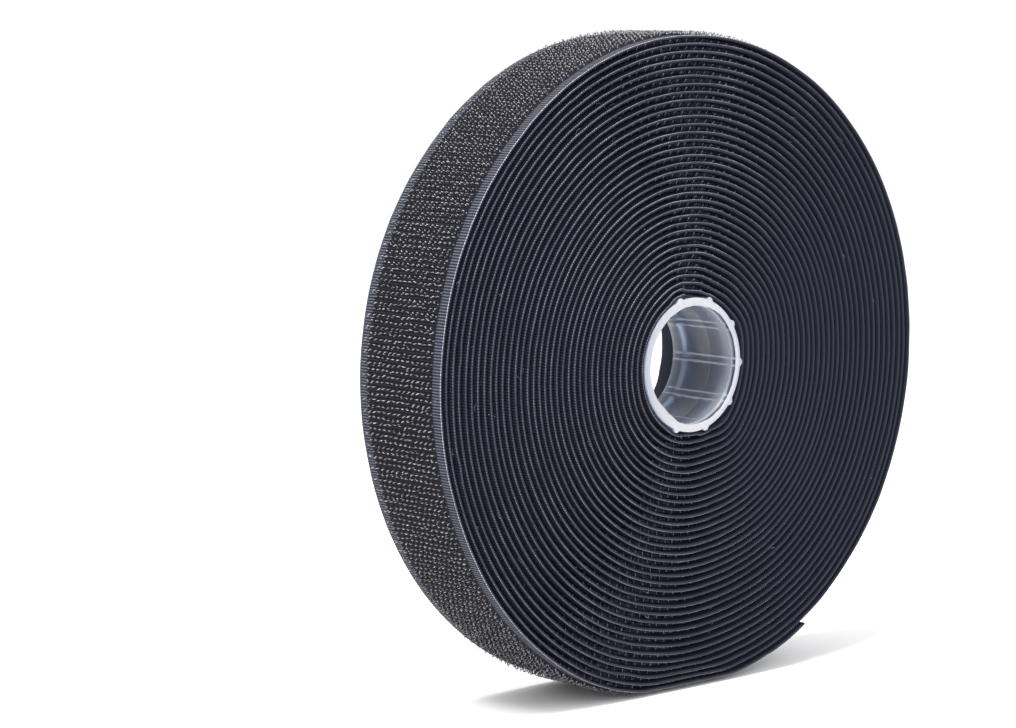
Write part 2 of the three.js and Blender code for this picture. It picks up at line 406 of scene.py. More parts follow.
class Winding:
    """Line of the ground's middle round the roll, as arrays over the length of the tape."""

    def __init__(self, sizes):
        count = int(SAMPLES_PER_TURN * (WHOLE_TURNS + (END_ANGLE - START_ANGLE) / FULL_TURN))
        self.turns = np.arange(count + 1) / SAMPLES_PER_TURN
        self.angle = START_ANGLE + FULL_TURN * self.turns
        self.radius = self.kinked(self.settled(sizes, self.even_spiral(sizes)))
        direction = np.radians(self.angle)
        self.x = sizes.axis_x + self.radius * np.cos(direction)
        self.z = sizes.axis_height + self.radius * np.sin(direction)
        self.along = np.concatenate([[0], np.cumsum(np.hypot(np.diff(self.x), np.diff(self.z)))])
        self.length = self.along[-1]
        slope = np.stack([np.gradient(self.x, self.along), np.gradient(self.z, self.along)])
        self.tangent = slope / np.hypot(*slope)

    def even_spiral(self, sizes):
        """Radius = start + pitch x turns + unevenness.

        The unevenness changes smoothly from row to row of its table and evenly from column to column.
        """
        table = np.concatenate([UNEVENNESS, UNEVENNESS[:1] + [FULL_TURN, 0, 0, 0, 0]])
        direction = self.angle % FULL_TURN
        row = np.searchsorted(table[:, 0], direction, side="right") - 1
        part = smooth((direction - table[row, 0]) / (table[row + 1, 0] - table[row, 0]))[:, None]
        columns = table[row, 1:] * (1 - part) + table[row + 1, 1:] * part
        stops = np.array(UNEVENNESS_TURNS)
        at = np.clip(np.searchsorted(stops, self.turns, side="right") - 1, 0, len(stops) - 2)
        share = np.clip((self.turns - stops[at]) / (stops[at + 1] - stops[at]), 0, 1)
        index = np.arange(len(at))
        uneven = columns[index, at] * (1 - share) + columns[index, at + 1] * share
        return START_RADIUS + sizes.pitch * self.turns + uneven * MM

    def settled(self, sizes, radius):
        """Each turn lies on the core, its ribs or the turn below, and the rim is flat on the floor."""
        side = turned(self.angle, DOWN)
        lift = smooth((RIB_REACH - to_nearest_rib(self.angle)) / RIB_EASE)
        above = np.floor(self.turns[-1] - self.turns + ROUNDING)
        floor = REST_RADIUS / np.cos(np.radians(np.minimum(side, REST_HALF_ANGLE)))
        floor -= sizes.hook_height + LEAST_PITCH * above + sizes.ground_thickness / 2
        limit = np.where(side <= REST_HALF_ANGLE, floor, np.inf)
        below = CORE_RADIUS + CORE_CLEARANCE + RIB_HEIGHT * lift[:SAMPLES_PER_TURN]
        for start in range(0, len(radius), SAMPLES_PER_TURN):
            turn = slice(start, start + SAMPLES_PER_TURN)
            radius[turn] = np.maximum(radius[turn], below[: len(radius[turn])])
            radius[turn] = np.minimum(radius[turn], limit[turn])
            below = radius[turn] + LEAST_PITCH
        return radius

    def kinked(self, radius):
        """Radius = its mean over a few degrees, as the tape is stiff, + wobbles - kinks - dip at the end."""
        reach = int(STIFFNESS_ANGLE / FULL_TURN * SAMPLES_PER_TURN)
        weights = np.hanning(2 * reach + 1)
        radius = np.convolve(np.pad(radius, reach, "edge"), weights / weights.sum(), "valid")
        around = radius * np.radians(self.angle)
        radius = radius + WOBBLE * soft_noise(around, WOBBLE_LENGTH, SEEDS["wobble"])
        for turn, angle, depth, half_width in KINKS:
            place = turn + (angle - START_ANGLE) % FULL_TURN / FULL_TURN
            near = np.abs(self.turns - place) * FULL_TURN / half_width
            radius -= depth * MM * smooth(1 - near)
        from_end = (self.turns[-1] - self.turns) * FULL_TURN
        return radius - END_DIP * smooth(1 - from_end / END_DIP_ANGLE)

    def place(self, along, depth, height):
        """Points at a length along the tape, a depth from the front and a height over the ground's middle."""
        along, depth, height = np.broadcast_arrays(along, depth, height)
        normal_x, normal_z = self.normal(along)
        x = np.interp(along, self.along, self.x) + height * normal_x
        z = np.interp(along, self.along, self.z) + height * normal_z
        return np.stack([x, front_corner.y + depth, z], axis=-1)

    def room(self, along):
        """Distance from the ground's middle to that of the next turn, at a length along the tape."""
        distance = self.radius[SAMPLES_PER_TURN:] - self.radius[:-SAMPLES_PER_TURN]
        return np.interp(along, self.along[:-SAMPLES_PER_TURN], distance)

    def normal(self, along):
        """Outward direction at a length along the tape."""
        x = np.interp(along, self.along, self.tangent[1])
        z = -np.interp(along, self.along, self.tangent[0])
        size = np.hypot(x, z)
        return x / size, z / size


def edge_shift(along, seed):
    """How far an edge of the tape stands out of its face: a slow wander and a short ripple together."""
    shift = np.zeros_like(along)
    for step, (length, share) in enumerate(EDGE_WANDER):
        shift += share * soft_noise(along, length * MM, seed + step)
    return EDGE_WOBBLE * shift


def across(along, depth, width):
    """Depths moved with the wandering edges: the nearer an edge, the more a point goes with it."""
    share = depth / width
    front = edge_shift(along, SEEDS["front_edge"])
    back = edge_shift(along, SEEDS["back_edge"])
    return depth + (1 - share) * front + share * back


def ground_section(width):
    """Closed section of the ground, counter-clockwise with its outer side first."""
    near = np.array(GROUND_EDGE) * MM
    far = near[::-1] * [-1, 1] + [width, 0]
    outer = np.concatenate([near, far])
    return np.concatenate([outer, outer[::-1] * [1, -1]])


def tape_ground(winding, sizes):
    """The woven ground: its closed section carried along the winding."""
    rows = int(round(winding.length / GROUND_STEP))
    along = np.linspace(0, winding.length, rows + 1)[:, None]
    section = ground_section(sizes.tape_width)
    depth = across(along, section[None, :, 0], sizes.tape_width)
    points = winding.place(along, depth, section[None, :, 1])
    rows, columns = points.shape[:2]
    quads = grid_quads(rows, columns, False, True)
    column = np.arange(columns // 2 - 1)
    ends = [np.stack([column, column + 1, columns - 2 - column, columns - 1 - column], axis=-1)]
    ends.append(ends[0][:, ::-1] + (rows - 1) * columns)
    quads = np.concatenate([quads[:, ::-1], *(end[:, ::-1] for end in ends)])
    uv = np.stack(np.broadcast_arrays(along, section[None, :, 0]), axis=-1)
    last_turn = winding.along[-1 - SAMPLES_PER_TURN]
    values = {
        "coated_back": np.broadcast_to(section[None, :, 1] < 0, (rows, columns)).ravel(),
        "open_rim": np.broadcast_to(smooth((along - last_turn) / RIM_FADE), (rows, columns)).ravel(),
    }
    return add_mesh("tape_ground", points.reshape(-1, 3), quads, uv=uv.reshape(-1, 2), values=values)


def selvedge_loops(name, winding, sizes, back):
    """Weft loops round one edge of the tape: a strip over the edge that steps in between two loops.

    The loops catch less light at the two sides of the roll than at its top and bottom.
    """
    random = np.random.default_rng(SEEDS["loops"] + back)
    step = sizes.weft_pitch / 2
    rows = int(winding.length / step)
    along = (np.arange(rows) * step)[:, None]
    crest = (np.arange(rows) % 2 == 0)[:, None]
    section = LOOP_EDGE[None]
    depth = section[..., 0] * MM + np.where(crest, 0, LOOP_DIP)
    height = section[..., 1] * MM * np.where(crest, 1, LOOP_HOLLOW_HEIGHT)
    stretches = STRETCH_LIGHT + STRETCH_SPREAD * soft_noise(along, STRETCH_LENGTH, SEEDS["stretches"] + back)
    single = random.uniform(*LOOP_LIGHT, (rows, 1))
    # Painted shade: the loops in the gaps between the turns are darker than those on the open rim
    rim = smooth((along - winding.along[-1 - SAMPLES_PER_TURN]) / RIM_FADE)
    upright = np.sin(np.radians(np.interp(along, winding.along, winding.angle))) ** 2
    stretches *= LOOP_SIDE_LIGHT + (1 - LOOP_SIDE_LIGHT) * upright
    # Painted shade: between two loops the strip is darker than on their crests
    light = section[..., 2] * np.maximum(stretches, rim) * np.where(crest, single, LOOP_HOLLOW_LIGHT)
    if back:
        depth = sizes.tape_width - depth
    points = winding.place(along, across(along, depth, sizes.tape_width), height)
    rows, columns = points.shape[:2]
    quads = grid_quads(rows, columns, False, False)
    quads = quads[:, ::-1] if back else quads
    uv = np.stack(np.broadcast_arrays(along, depth), axis=-1).reshape(-1, 2)
    return add_mesh(name, points.reshape(-1, 3), quads, uv=uv, values={"light": light.ravel()})


def filament(bends, radius):
    """Template of one filament: a ring of points round each of its bends, with both ends closed.

    The template's points are (way along the lean, height, side), each with its lightness.
    """
    path = np.array(bends)[:, :2] * MM
    slope = np.gradient(path, axis=0)
    slope /= np.hypot(slope[:, 0], slope[:, 1])[:, None]
    turn = 2 * np.pi * np.arange(TUBE_SIDES) / TUBE_SIDES
    flat = radius * np.cos(turn)[None, :, None] * np.stack([slope[:, 1], -slope[:, 0]], axis=-1)[:, None, :]
    side = np.broadcast_to(radius * np.sin(turn)[None, :, None], (len(path), TUBE_SIDES, 1))
    points = np.concatenate([path[:, None, :] + flat, side], axis=-1).reshape(-1, 3)
    light = np.repeat(np.array(bends)[:, 2], TUBE_SIDES)
    quads = grid_quads(len(path), TUBE_SIDES, False, True)
    first = np.arange(TUBE_SIDES)
    caps = np.stack([first[::-1], first + len(points) - TUBE_SIDES])
    return points, light, quads, caps


def joined(first, second):
    """Two templates as one."""
    count = len(first[0])
    shifts = (0, 0, count, count)
    return [np.concatenate([one, other + shift]) for one, other, shift in zip(first, second, shifts)]


def plant(name, template, winding, along, depth, lean, height, tilt, shade):
    """Copies of a filament template, rooted in the ground and turned by their leans in its plane.

    A lean of 0 lies along the tape, and one of 90 across it and away from the front. height stretches
    a filament, tilt tips it over along its lean, and shade is its lightness.
    """
    points, light, quads, caps = template
    base = winding.place(along, depth, HOOK_ROOT)
    normal_x, normal_z = winding.normal(along)
    zero = np.zeros_like(normal_x)
    up = np.stack([normal_x, zero, normal_z], axis=-1)
    forward = np.stack([-normal_z, zero, normal_x], axis=-1)
    sideways = np.array([0, 1, 0])
    turn = np.radians(lean)[:, None]
    way = np.cos(turn) * forward + np.sin(turn) * sideways
    cross = np.cross(way, up)
    tipped = up + np.tan(np.radians(tilt))[:, None] * way
    placed = (
        base[:, None]
        + points[None, :, 0, None] * way[:, None]
        + points[None, :, 1, None] * height[:, None, None] * tipped[:, None]
        + points[None, :, 2, None] * cross[:, None]
    )
    shift = len(points) * np.arange(len(base))[:, None, None]
    return add_mesh(
        name,
        placed.reshape(-1, 3),
        (quads[None] + shift).reshape(-1, 4),
        (caps[None] + shift).reshape(-1, 3),
        values={"light": (shade[:, None] * light).ravel()},
    )


def posture(random, size, spread):
    """Height as a share, tilt and lightness of each filament of a kind."""
    height = random.uniform(*spread["height"], size)
    tilt = random.normal(0, spread["tilt"], size)
    return height, tilt, random.uniform(*spread["light"], size)


def hook_places(sizes, start, end, columns):
    """Length, depth and lean of every hook between two lengths, in rows across the tape.

    Every other row is moved sideways, and its hooks bend the other way.
    """
    rows = np.arange(np.ceil(start / HOOK_ROW_PITCH), np.floor(end / HOOK_ROW_PITCH))
    row, column = np.meshgrid(rows, np.arange(columns), indexing="ij")
    odd = (row % 2 == 1).ravel()
    along = row.ravel() * HOOK_ROW_PITCH
    depth = sizes.selvedge_width + HOOK_MARGIN + HOOK_PITCH * column.ravel() + HOOK_SHIFT * odd
    return along, depth, np.where(odd, -HOOK_LEAN, HOOK_LEAN)


def rim_hooks(winding, sizes):
    """Hooks on the outermost turn."""
    random = np.random.default_rng(SEEDS["rim_hooks"])
    start = winding.along[-1 - int(SAMPLES_PER_TURN * RIM_HOOK_TURNS)]
    columns = int((sizes.tape_width - 2 * sizes.selvedge_width) / HOOK_PITCH) + 1
    along, depth, lean = hook_places(sizes, start, winding.length - RIM_END_MARGIN, columns)
    kept = depth < sizes.tape_width - sizes.selvedge_width
    along, depth, lean = along[kept], depth[kept], lean[kept]
    size = len(along)
    row_shift = soft_noise(along, ROW_WANDER_LENGTH, SEEDS["row_wander"])
    row_shift *= soft_noise(along + depth, ROW_PATCH, SEEDS["row_patches"])
    along = along + ROW_WANDER * row_shift + random.normal(0, RIM_SPREAD["along"] * MM, size)
    depth = depth + random.normal(0, RIM_SPREAD["across"] * MM, size)
    patches = soft_noise(along + depth, LEAN_PATCH, SEEDS["lean_patches"])
    lean = lean + LEAN_WANDER * patches + random.normal(0, RIM_SPREAD["lean"], size)
    template = joined(filament(HOOK, HOOK_RADIUS), filament(STUMP, HOOK_RADIUS))
    return plant("rim_hooks", template, winding, along, depth, lean, *posture(random, size, RIM_SPREAD))


def gap_hooks(name, winding, sizes, back):
    """Outermost hooks between the turns, in every second row, which lean to the face and show in its gaps."""
    random = np.random.default_rng(SEEDS["gap_hooks"] + back)
    last = winding.length - 2 * np.pi * REST_RADIUS
    along = np.arange(GAP_HOOK_START, last, GAP_HOOK_ROWS * HOOK_ROW_PITCH)
    size = len(along)
    depth = sizes.selvedge_width + random.normal(HOOK_MARGIN, GAP_SPREAD["across"] * MM, size)
    depth = sizes.tape_width - depth if back else depth
    along = along + random.normal(0, GAP_SPREAD["along"] * MM, size)
    lean = GAP_LEAN * (-1 if back else 1) + random.normal(0, GAP_SPREAD["lean"], size)
    template = filament(GAP_HOOK, HOOK_RADIUS)
    return plant(name, template, winding, along, depth, lean, *posture(random, size, GAP_SPREAD))


def stray_filaments(winding, sizes):
    """Loose filaments that stand out of the faces and the selvedges here and there."""
    random = np.random.default_rng(SEEDS["strays"])
    size = sizes.stray_count
    along = random.uniform(STRAY_START, 1, size) ** STRAY_GATHERING * (winding.length - STRAY_END)
    back = random.random(size) < 0.5
    depth = random.uniform(*STRAY_DEPTH, size) * MM
    depth = np.where(back, sizes.tape_width - depth, depth)
    lean = random.uniform(0, FULL_TURN, size)
    template = filament(STRAY, STRAY_RADIUS)
    spread = posture(random, size, STRAY_SPREAD)
    return plant("stray_filaments", template, winding, along, depth, lean, *spread)


def inner_hook_mass(winding, sizes):
    """The hooks deeper between the turns as one dark band, because single hooks don't show there.

    The band fills the room from the ground up to the back of the next turn.
    """
    end = winding.along[-1 - SAMPLES_PER_TURN] - MASS_STEP
    along = np.linspace(MASS_STEP, end, int(end / MASS_STEP))[:, None]
    low = np.full_like(along, HOOK_ROOT)
    high = winding.room(along) - sizes.ground_thickness / 2 - MASS_CLEARANCE
    near, far = MASS_MARGIN, sizes.tape_width - MASS_MARGIN
    points = winding.place(along, np.array([[near, near, far, far]]), np.hstack([low, high, high, low]))
    rows, columns = points.shape[:2]
    ends = np.array([(0, 1, 2, 3), (3, 2, 1, 0)])
    ends[1] += (rows - 1) * columns
    quads = np.concatenate([grid_quads(rows, columns, False, True), ends[:, ::-1]])[:, ::-1]
    return add_mesh("inner_hook_mass", points.reshape(-1, 3), quads)


def core_tube(sizes):
    """The core: its section turned round the axis, with the ribs raised on the outer side.

    A rib's height falls from full at its tip's half width to nothing at its foot's. The lip's inner
    radius follows its table round the core. The wall is painted milkier, and so lighter, at its top and
    bottom than at its sides, as painted light.
    """
    angle = FULL_TURN * np.arange(CORE_SAMPLES) / CORE_SAMPLES
    arc = CORE_RADIUS * np.radians(to_nearest_rib(angle))
    rib = RIB_HEIGHT * np.clip((RIB_FOOT - arc) / (RIB_FOOT - RIB_TIP), 0, 1)
    section = CORE_SECTION[None] * MM
    depth = np.broadcast_to(section[..., 0], (len(angle), len(CORE_SECTION)))
    radius = section[..., 1] + CORE_SECTION[None, :, 2] * rib[:, None]
    lip = np.interp(angle, LIP[:, 0], LIP[:, 1]) * MM
    lip += LIP_WEAR * soft_noise(angle, LIP_WEAR_ANGLE, SEEDS["lip"])
    at_lip = (depth < LIP_DEPTH) & (CORE_SECTION[None, :, 2] == 0)
    radius = np.where(at_lip, np.minimum(radius, lip[:, None] + LIP_EDGE * (depth == 0)), radius)
    direction = np.radians(angle)[:, None]
    x = sizes.axis_x + radius * np.cos(direction)
    z = sizes.axis_height + radius * np.sin(direction)
    points = np.stack([x, front_corner.y + depth, z], axis=-1)
    quads = grid_quads(len(angle), len(CORE_SECTION), True, True)
    edge = smooth(1 - np.abs(arc - RIB_FOOT * RIB_LINE_PLACE) / RIB_LINE_WIDTH)
    # Painted light: away from the lip the wall is made milkier, and so lighter, at its top and bottom than at
    # its sides
    upright = np.where(at_lip, 1, CORE_SIDE_LIGHT + (1 - CORE_SIDE_LIGHT) * np.sin(direction) ** 2)
    values = {
        "rib_edge": np.broadcast_to(edge[:, None], depth.shape).ravel(),
        "milky_and_painted_light": (CORE_SECTION[None, :, 3] * upright).ravel(),
    }
    return add_mesh("core_tube", points.reshape(-1, 3), quads, values=values)


def add_node(tree, kind, links=None, inputs=None, **settings):
    """Adds a node with its settings, the links into its inputs and its input values."""
    node = tree.nodes.new(kind)
    for name, value in settings.items():
        setattr(node, name, value)
    for name, value in (inputs or {}).items():
        node.inputs[name].default_value = value
    for name, socket in (links or {}).items():
        tree.links.new(socket, node.inputs[name])
    return node


def new_material(name, shader_inputs):
    """Node material with values on its shader's own sockets, its node tree and its shader."""
    material = bpy.data.materials.new(name)
    material.use_nodes = True
    shader = material.node_tree.nodes["Principled BSDF"]
    for socket, value in shader_inputs.items():
        shader.inputs[socket].default_value = value
    return material, material.node_tree, shader


def woven_nylon(colours, sizes):
    """Woven nylon, dull near black. Weft ribs across the tape and warp lines along it give the eye ribbed
    grey selvedges and a plain coated back with a faint blue sheen. The ground between the hooks is darker as
    painted shade, and so are the ribs in the gaps between the turns."""
    material, tree, shader = new_material(
        "woven_nylon",
        {
            "Roughness": 0.65,
            "IOR": 1.53,
            "Specular IOR Level": 0.08,
            "Sheen Weight": 0.04,
            "Sheen Roughness": 0.4,
            "Sheen Tint": tuple(colours.sheen),
        },
    )
    place = add_node(tree, "ShaderNodeUVMap", uv_map="along_tape").outputs["UV"]
    depth = add_node(tree, "ShaderNodeSeparateXYZ", {"Vector": place}).outputs["Y"]
    ribs = add_node(
        tree,
        "ShaderNodeTexWave",
        {"Vector": place},
        {"Scale": ONE_WAVE_A_METRE / sizes.weft_pitch, "Distortion": 0.4, "Phase Offset": np.pi},
        bands_direction="X",
    ).outputs["Fac"]
    warps = add_node(
        tree,
        "ShaderNodeTexWave",
        {"Vector": place},
        {"Scale": ONE_WAVE_A_METRE / WARP_PITCH, "Distortion": 1.0, "Detail": 1.0},
        bands_direction="Y",
    ).outputs["Fac"]
    patches = add_node(
        tree, "ShaderNodeTexNoise", {"Vector": place}, {"Scale": CLOTH_PATCHES, "Detail": 2.0}
    ).outputs["Fac"]
    warp_share = add_node(
        tree,
        "ShaderNodeMapRange",
        {"Value": warps},
        {"From Min": 0.0, "From Max": 1.0, "To Min": 0.55, "To Max": 1.0},
    ).outputs["Result"]
    narrow_ribs = add_node(tree, "ShaderNodeMath", {0: ribs}, {1: 2.0}, operation="POWER").outputs[0]
    weave = add_node(tree, "ShaderNodeMath", {0: narrow_ribs, 1: warp_share}, operation="MULTIPLY").outputs[0]
    from_edge = add_node(
        tree, "ShaderNodeMath", {0: depth}, {1: sizes.tape_width / 2}, operation="PINGPONG"
    ).outputs[0]
    # Painted shade: between the hooks the ground and its ribs are darker than on the bare selvedges
    bare = add_node(
        tree,
        "ShaderNodeMapRange",
        {"Value": from_edge},
        {
            "From Min": sizes.selvedge_width - SELVEDGE_BLEND,
            "From Max": sizes.selvedge_width + SELVEDGE_BLEND,
            "To Min": 1.0,
            "To Max": colours.field_shade_share,
        },
    ).outputs["Result"]
    # Painted shade: the ribs in the gaps between the turns are darkened, while those on the open rim keep
    # their full lightness
    rim = add_node(tree, "ShaderNodeAttribute", attribute_name="open_rim").outputs["Fac"]
    gap_shade = add_node(
        tree,
        "ShaderNodeMapRange",
        {"Value": rim},
        {"From Min": 0.0, "From Max": 1.0, "To Min": GAP_SHARE, "To Max": 1.0},
    ).outputs["Result"]
    patch_share = add_node(
        tree,
        "ShaderNodeMapRange",
        {"Value": patches},
        {"From Min": 0.0, "From Max": 1.0, "To Min": 0.5, "To Max": 1.5},
    ).outputs["Result"]
    light = weave
    for share in (bare, gap_shade, patch_share):
        light = add_node(tree, "ShaderNodeMath", {0: light, 1: share}, operation="MULTIPLY").outputs[0]
    hollow = add_node(
        tree,
        "ShaderNodeMixRGB",
        {"Fac": bare},
        {"Color1": tuple(colours.field), "Color2": tuple(colours.ground)},
    ).outputs["Color"]
    woven = add_node(
        tree,
        "ShaderNodeMixRGB",
        {"Fac": light, "Color1": hollow},
        {"Color2": tuple(colours.ground_ribs)},
    ).outputs["Color"]
    coated = add_node(tree, "ShaderNodeAttribute", attribute_name="coated_back").outputs["Fac"]
    tint = add_node(
        tree,
        "ShaderNodeMixRGB",
        {"Fac": coated, "Color1": woven},
        {"Color2": tuple(colours.coating)},
    ).outputs["Color"]
    raised = add_node(
        tree,
        "ShaderNodeMapRange",
        {"Value": coated},
        {"From Min": 0.0, "From Max": 1.0, "To Min": 1.0, "To Max": 0.25},
    ).outputs["Result"]
    relief = add_node(tree, "ShaderNodeMath", {0: weave, 1: raised}, operation="MULTIPLY").outputs[0]
    bump = add_node(
        tree,
        "ShaderNodeBump",
        {"Height": relief},
        {"Strength": 1.0, "Distance": 0.12 * MM},
    )
    tree.links.new(tint, shader.inputs["Base Color"])
    tree.links.new(bump.outputs["Normal"], shader.inputs["Normal"])
    return material


def lit_nylon(name, dark, bright, shader_inputs):
    """Nylon whose lightness each point of the mesh carries, between a dark and a bright colour."""
    material, tree, shader = new_material(name, shader_inputs)
    light = add_node(tree, "ShaderNodeAttribute", attribute_name="light").outputs["Fac"]
    tint = add_node(
        tree,
        "ShaderNodeMixRGB",
        {"Fac": light},
        {"Color1": tuple(dark), "Color2": tuple(bright)},
    ).outputs["Color"]
    tree.links.new(tint, shader.inputs["Base Color"])
    return material


def selvedge_yarn(colours):
    """Textured nylon yarn of the weft loops, duller and lighter than the ground, so that the eye reads each
    turn as a beaded grey line, with a painted highlight along the loops' hook-side corners and painted shade
    between the loops. Its lightness wanders along the tape, as loops stand out more or less."""
    return lit_nylon(
        "textured_nylon_yarn",
        colours.loops_dark,
        colours.loops,
        {"Roughness": 0.6, "IOR": 1.53, "Specular IOR Level": 0.2},
    )


def hook_monofilament(colours):
    """Drawn nylon monofilament, smooth and hard: each bend gives the eye a small light spot, a painted
    highlight, over a dark foot."""
    return lit_nylon(
        "nylon_monofilament",
        colours.hook_feet,
        colours.hook_tip_highlight,
        {"Roughness": 0.3, "IOR": 1.53, "Specular IOR Level": 0.4},
    )


def shaded_monofilament(colours):
    """Nylon monofilament of the hooks deep between the turns, which reach the eye as dark bluish specks."""
    material, tree, shader = new_material(
        "shaded_nylon_monofilament", {"Roughness": 0.7, "IOR": 1.53, "Specular IOR Level": 0.1}
    )
    place = add_node(tree, "ShaderNodeTexCoord").outputs["Object"]
    specks = add_node(tree, "ShaderNodeTexNoise", {"Vector": place}, {"Scale": MASS_SPECKS, "Detail": 1.0})
    share = add_node(
        tree,
        "ShaderNodeMapRange",
        {"Value": specks.outputs["Fac"]},
        {"From Min": 0.35, "From Max": 0.7, "To Min": 0.0, "To Max": 1.0},
    )
    tint = add_node(
        tree,
        "ShaderNodeMixRGB",
        {"Fac": share.outputs["Result"]},
        {"Color1": tuple(colours.hook_feet), "Color2": tuple(colours.hook_mass)},
    )
    tree.links.new(tint.outputs["Color"], shader.inputs["Base Color"])
    return material


def polypropylene(colours):
    """Natural polypropylene, injection moulded: milky and translucent, so the dark tape shows through
    the wall in bluish grey, and its end and the feet of the ribs are nearly white."""
    material, tree, shader = new_material(
        "moulded_polypropylene",
        {"Roughness": 0.34, "IOR": 1.49},
    )
    edge = add_node(tree, "ShaderNodeAttribute", attribute_name="rib_edge").outputs["Fac"]
    milky_and_painted_light = add_node(tree, "ShaderNodeAttribute", attribute_name="milky_and_painted_light").outputs["Fac"]
    solid = add_node(tree, "ShaderNodeMath", {0: edge, 1: milky_and_painted_light}, operation="MAXIMUM")
    clear = add_node(
        tree,
        "ShaderNodeMapRange",
        {"Value": solid.outputs[0]},
        {"From Min": 0.0, "From Max": 1.0, "To Min": 0.96, "To Max": 0.15},
    )
    tint = add_node(
        tree,
        "ShaderNodeMixRGB",
        {"Fac": solid.outputs[0]},
        {"Color1": tuple(colours.core_clear), "Color2": tuple(colours.core_milky)},
    )
    tree.links.new(clear.outputs["Result"], shader.inputs["Transmission Weight"])
    tree.links.new(tint.outputs["Color"], shader.inputs["Base Color"])
    place = add_node(tree, "ShaderNodeTexCoord").outputs["Object"]
    ripple = add_node(tree, "ShaderNodeTexNoise", {"Vector": place}, {"Scale": PLASTIC_RIPPLE, "Detail": 2.0})
    bump = add_node(
        tree,
        "ShaderNodeBump",
        {"Height": ripple.outputs["Fac"]},
        {"Strength": 0.25, "Distance": 0.05 * MM},
    )
    tree.links.new(bump.outputs["Normal"], shader.inputs["Normal"])
    return material


def backdrop_paper(colours):
    """Matt white paper, which gives the eye a plain ground with a soft shadow."""
    material, tree, shader = new_material("backdrop_paper", {"Roughness": 0.9, "Specular IOR Level": 0.1})
    place = add_node(tree, "ShaderNodeTexCoord").outputs["Object"]
    grain = add_node(tree, "ShaderNodeTexNoise", {"Vector": place}, {"Scale": PAPER_GRAIN, "Detail": 2.0})
    bump = add_node(
        tree,
        "ShaderNodeBump",
        {"Height": grain.outputs["Fac"]},
        {"Strength": 0.05, "Distance": 0.05 * MM},
    )
    tree.links.new(bump.outputs["Normal"], shader.inputs["Normal"])
    shader.inputs["Base Color"].default_value = tuple(colours.backdrop)
    return material


def length_property(name, description, default):
    """Length that a user may change."""
    return bpy.props.FloatProperty(
        name=name, description=description, default=default, min=0.0, unit="LENGTH", precision=5
    )


def colour_property(name, description, code):
    """Colour that a user may change, from its sRGB hex value."""
    return bpy.props.FloatVectorProperty(
        name=name, description=description, default=linear(code), size=4, min=0, max=1, subtype="COLOR"
    )


class TapeRollSizes(bpy.types.PropertyGroup):
    """Sizes of the tape, its winding and its core."""

    axis_x: bpy.props.FloatProperty(
        name="Axis X", description="Place of the roll's axis along X", default=0.4612 * MM, unit="LENGTH"
    )
    axis_height: length_property("Axis height", "Height of the roll's axis over the floor", REST_RADIUS)
    tape_width: length_property("Tape width", "Width of the tape", back_corner.y - front_corner.y)
    ground_thickness: length_property("Ground thickness", "Thickness of the woven ground", 0.5 * MM)
    selvedge_width: length_property("Selvedge width", "Bare woven edge on each side", 2.5 * MM)
    hook_height: length_property("Hook height", "Height of the hooks over the ground", 1.1 * MM)
    weft_pitch: length_property("Weft pitch", "Distance between weft loops on the selvedge", 0.6 * MM)
    pitch: length_property("Pitch", "Distance between two turns", 1.62 * MM)
    stray_count: bpy.props.IntProperty(
        name="Stray filaments", description="Number of loose filaments", default=130, min=0
    )


class TapeRollColours(bpy.types.PropertyGroup):
    """Colours of the tape, the core and the floor."""

    ground: colour_property("Ground", "Woven ground in the hollows", "1c1e2d")
    # Painted shade: the ground between the hooks is painted darker than the selvedges
    field: colour_property("Field", "Ground between the hooks", "0b0a11")
    ground_ribs: colour_property("Ground ribs", "Woven ground on its ribs", "66696f")
    sheen: colour_property("Sheen", "Soft light on the weave", "8c92a8")
    loops: colour_property("Loops", "Weft loops at the edges", "dfe3ee")
    loops_dark: colour_property("Between loops", "Between the weft loops", "1f202b")
    hook_feet: colour_property("Hook feet", "Foot of the hooks", "151420")
    # Painted highlight: the bends of the hooks are painted near white
    hook_tip_highlight: colour_property("Hook tips", "Bend of the hooks", "d7d4de")
    hook_mass: colour_property("Hook mass", "Hooks deep between the turns", "4a4e64")
    coating: colour_property("Coating", "Coated back of the tape", "272935")
    # Painted shade: lightness of the ribs between the hooks
    field_shade_share: bpy.props.FloatProperty(
        name="Field lightness",
        description="Lightness of the ribs between the hooks",
        default=0.12,
        min=0,
        max=1,
    )
    core_clear: colour_property("Clear core", "Plastic of the core where it is clear", "b0c0dd")
    core_milky: colour_property("Milky core", "Plastic of the core where it is milky", "b3b3b7")
    backdrop: colour_property("Backdrop", "Floor", "fafafa")


class TapeRollOperator:
    """What the operators share."""

    bl_options = {"REGISTER", "UNDO"}

    def settings(self, context):
        """Sizes and colours of the scene."""
        return context.scene.tape_roll_sizes, context.scene.tape_roll_colours


class AddCore(TapeRollOperator, bpy.types.Operator):
    """Adds the ribbed plastic core"""

    bl_idname = "mesh.tape_roll_add_core"
    bl_label = "Core"

    def execute(self, context):
        sizes, colours = self.settings(context)
        core = core_tube(sizes)
        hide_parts(CORE_NODE)
        finish_piece(core, polypropylene(colours))
        return {"FINISHED"}


class AddSelvedgeLoops(TapeRollOperator, bpy.types.Operator):
    """Adds the weft loops along both edges of the tape"""

    bl_idname = "mesh.tape_roll_add_selvedge_loops"
    bl_label = "Selvedge loops"

    def execute(self, context):
        sizes, colours = self.settings(context)
        winding = Winding(sizes)
        yarn = selvedge_yarn(colours)
        for name, back in LOOP_PIECES.items():
            finish_piece(selvedge_loops(name, winding, sizes, back), yarn)
        return {"FINISHED"}


